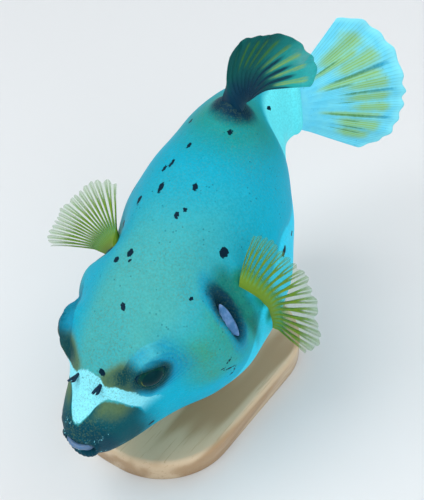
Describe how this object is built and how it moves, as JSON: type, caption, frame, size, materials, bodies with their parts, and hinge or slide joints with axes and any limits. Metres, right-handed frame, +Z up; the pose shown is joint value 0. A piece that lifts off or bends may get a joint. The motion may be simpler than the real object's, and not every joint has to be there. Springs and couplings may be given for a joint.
{
  "type": "blackspotted pufferfish",
  "caption": "Life-size still model of a blackspotted pufferfish, nosing down with its tail turned, on rods above a plain flat base.",
  "frame": {"origin": "centre of the stand base's underside, which rests on the floor", "axes": "+Z up; the head faces -Y and the tail +Y; the fish's left side is toward +X"},
  "size_m": [0.1401, 0.2294, 0.173],
  "materials": {
    "skin": "fine-grained wet-looking skin, blue-green with near-black spots",
    "tail_fin": "soft ribbed fin, pale with olive streaks",
    "dark_fin": "soft ribbed fin, dark green",
    "side_fin": "soft ribbed fin, olive",
    "eye": "wet and glossy",
    "nostril": "soft, near-black",
    "gill_flap": "moist, pale lilac-blue",
    "tooth": "smooth, pale",
    "base_wood": "satin pale ash",
    "rod_steel": "brushed"
  },
  "bodies": {
    "root": {"head": "skin", "trunk_front": "skin", "trunk_rear": "skin", "tail_stalk": "skin", "caudal_fin": "tail_fin", "dorsal_fin": "dark_fin", "anal_fin": "dark_fin", "pectoral_fin_left": "side_fin", "pectoral_fin_right": "side_fin", "eye_left": "eye", "nostril_left": "nostril", "gill_flap_left": "gill_flap", "eye_right": "eye", "nostril_right": "nostril", "gill_flap_right": "gill_flap", "tooth_upper": "tooth", "tooth_lower": "tooth", "stand_base": "base_wood", "stand_rod_front": "rod_steel", "stand_rod_rear": "rod_steel"}
  },
  "joints": []
}
